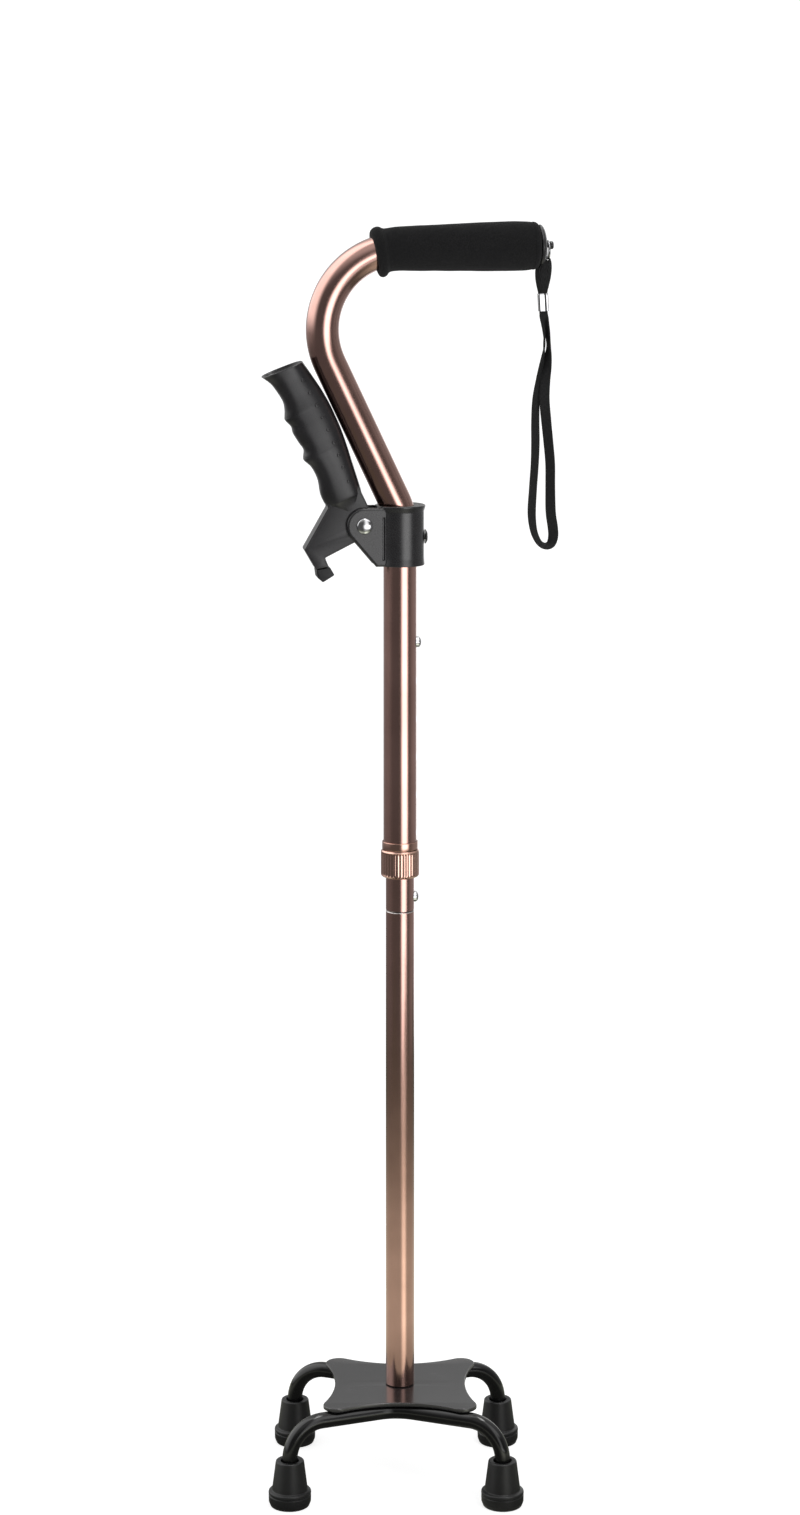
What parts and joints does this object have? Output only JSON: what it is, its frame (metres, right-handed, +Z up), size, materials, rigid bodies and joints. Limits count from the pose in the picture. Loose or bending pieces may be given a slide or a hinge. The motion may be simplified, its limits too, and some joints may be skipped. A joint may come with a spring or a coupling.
{
  "type": "quad walking cane",
  "caption": "Height-adjustable walking cane on a small quad base, with an offset foam grip, a wrist strap and a fold-out stand-assist lever on the handle tube.",
  "frame": {"origin": "on the floor, under the middle of the whole cane's box; the stem's axis is 7.76 mm to -X of it", "axes": "+Z up along the stem, +X towards the free end of the foam grip (the stem is turned 8 degrees about +Z from it), +Y to the rear; the base is square to X and Y"},
  "size_m": [0.1976, 0.136, 0.8379],
  "materials": {
    "copper_tube": "satin copper-brown anodised",
    "bright_copper": "bright copper anodised",
    "black_steel": "gloss black powder coat",
    "plated_steel": "bright plated",
    "spring_steel": "plain spring steel",
    "black_nylon": "satin moulded",
    "white_nylon": "moulded",
    "black_rubber": "matte moulded rubber",
    "black_foam": null,
    "black_webbing": "woven webbing"
  },
  "bodies": {
    "base": {"base_plate": "black_steel", "front_leg": "black_steel", "rear_leg": "black_steel", "tip_front_left": "black_rubber", "tip_front_right": "black_rubber", "tip_rear_left": "black_rubber", "tip_rear_right": "black_rubber", "tip_washer_front_left": "plated_steel", "tip_washer_front_right": "plated_steel", "tip_washer_rear_left": "plated_steel", "tip_washer_rear_right": "plated_steel", "base_tube": "copper_tube", "base_plug": "white_nylon", "base_bolt": "plated_steel", "base_washer": "plated_steel", "joint_sleeve": "plated_steel", "lower_button_spring": "spring_steel"},
    "lower_snap": {"lower_button": "plated_steel"},
    "middle_section": {"middle_tube": "copper_tube", "upper_button_spring": "spring_steel"},
    "upper_snap": {"upper_button": "plated_steel"},
    "handle_section": {"handle_tube": "copper_tube", "collar_sleeve": "bright_copper", "collar_collet": "bright_copper", "foam_grip": "black_foam", "grip_end_cap": "black_nylon", "strap_post": "black_steel", "clamp_bracket": "black_nylon", "bracket_screw": "black_steel", "pivot_rivet": "plated_steel", "rivet_washer": "plated_steel"},
    "lock_nut": {"collar_nut": "bright_copper"},
    "lever_arm": {"assist_lever": "black_nylon", "assist_grip": "black_nylon", "jaw_pad": "black_rubber"},
    "strap_link": {"strap_ring": "plated_steel"},
    "wrist_loop": {"wrist_strap": "black_webbing", "strap_crimp": "plated_steel"}
  },
  "joints": [
    {"name": "section_release", "type": "slide", "parent": "base", "child": "middle_section", "axis": [0, 0, 1], "range_m": [0, 0.04], "deforming": ["lower_button"]},
    {"name": "lower_button_press", "type": "slide", "parent": "base", "child": "lower_snap", "axis": [-0.9903, -0.1392, 0], "range_m": [0, 0.0044], "stiffness_N_per_m": 1500, "deforming": ["lower_button_spring"]},
    {"name": "height_slide", "type": "slide", "parent": "middle_section", "child": "handle_section", "axis": [0, 0, 1], "range_m": [0, 0.127], "deforming": ["upper_button"]},
    {"name": "upper_button_press", "type": "slide", "parent": "middle_section", "child": "upper_snap", "axis": [-0.9903, -0.1392, 0], "range_m": [0, 0.0048], "stiffness_N_per_m": 1500, "deforming": ["upper_button_spring"]},
    {"name": "lock_nut_turn", "type": "hinge", "parent": "handle_section", "child": "lock_nut", "pos_m": [-0.00776, 0, 0.4085], "axis": [0, 0, 1], "range_deg": [0, 180]},
    {"name": "lever_fold", "type": "hinge", "parent": "handle_section", "child": "lever_arm", "pos_m": [-0.03291, -0.00353, 0.6354], "axis": [0.1392, -0.9903, 0], "range_deg": [0, 58]},
    {"name": "ring_swing", "type": "hinge", "parent": "handle_section", "child": "strap_link", "pos_m": [0.09196, 0.01401, 0.82146], "axis": [0.9901, 0.1392, 0.0175], "range_deg": [-60, 60]},
    {"name": "strap_swing", "type": "hinge", "parent": "strap_link", "child": "wrist_loop", "pos_m": [0.09196, 0.01401, 0.81256], "axis": [0.1392, -0.9903, 0], "range_deg": [0, 50]}
  ]
}
